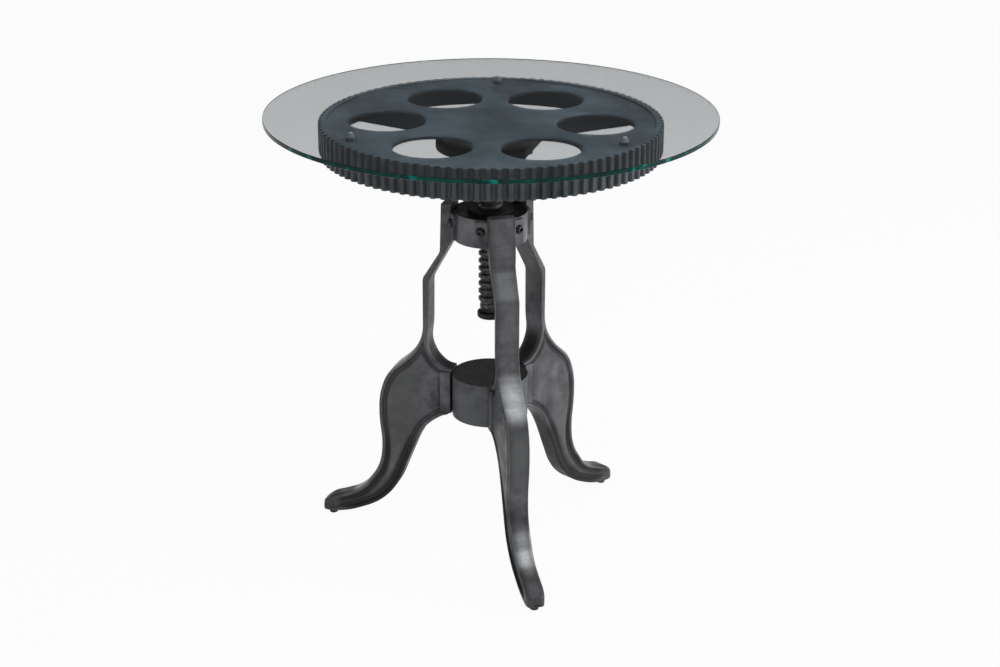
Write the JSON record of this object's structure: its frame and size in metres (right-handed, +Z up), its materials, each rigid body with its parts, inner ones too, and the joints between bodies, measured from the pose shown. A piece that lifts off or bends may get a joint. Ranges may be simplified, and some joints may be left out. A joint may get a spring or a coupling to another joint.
{
  "type": "gear end table",
  "caption": "Side table with a round glass top on a toothed cast wheel, raised by turning the wheel on a coarse screw held by a cast stand with curved legs.",
  "frame": {"origin": "on the floor, on the axis of the screw", "axes": "+Z up along the screw, the front leg along -Y, the other two legs at 120 degrees to it"},
  "size_m": [0.6099, 0.61, 0.624],
  "materials": {
    "top_glass": "clear, with a green edge",
    "clear_bumper": "clear",
    "wheel_iron": "dark, lightly mottled cast face",
    "flange_iron": "black",
    "stand_iron": "dark cast",
    "leg_iron": "satin dark cast with mottling",
    "screw_steel": "blackened",
    "bush_brass": "dull",
    "dark_steel": "blackened",
    "dark_bolts": "black",
    "washer_steel": "plain",
    "glide_rubber": "black"
  },
  "bodies": {
    "base": {"collar": "stand_iron", "threaded_bush": "bush_brass", "collar_bolts": "dark_bolts", "leg_front": "leg_iron", "leg_right": "leg_iron", "leg_left": "leg_iron", "centre_hub": "stand_iron", "hub_bolts": "dark_bolts", "hub_washers": "washer_steel", "glide_front": "glide_rubber", "glide_right": "glide_rubber", "glide_left": "glide_rubber", "glide_screws": "washer_steel"},
    "stop": {"stop_washer": "dark_steel"},
    "top": {"glass_top": "top_glass", "glass_bumper_1": "clear_bumper", "glass_bumper_2": "clear_bumper", "glass_bumper_3": "clear_bumper", "toothed_wheel": "wheel_iron", "wheel_flange": "flange_iron", "flange_bolts": "dark_bolts", "spindle_nut": "dark_steel", "lift_screw": "screw_steel", "stop_screw": "dark_bolts"}
  },
  "joints": [
    {"name": "height", "type": "slide", "parent": "base", "child": "stop", "axis": [0, 0, 1], "range_m": [-0.066, 0.1045]},
    {"name": "top_turn", "type": "hinge", "parent": "stop", "child": "top", "pos_m": [0, 0, 0.572], "axis": [0, 0, 1], "range_deg": [-2160, 3420]}
  ],
  "couplings": [
    {"joint": "height", "follows": "top_turn", "m_per_rad": 0.0017507}
  ]
}
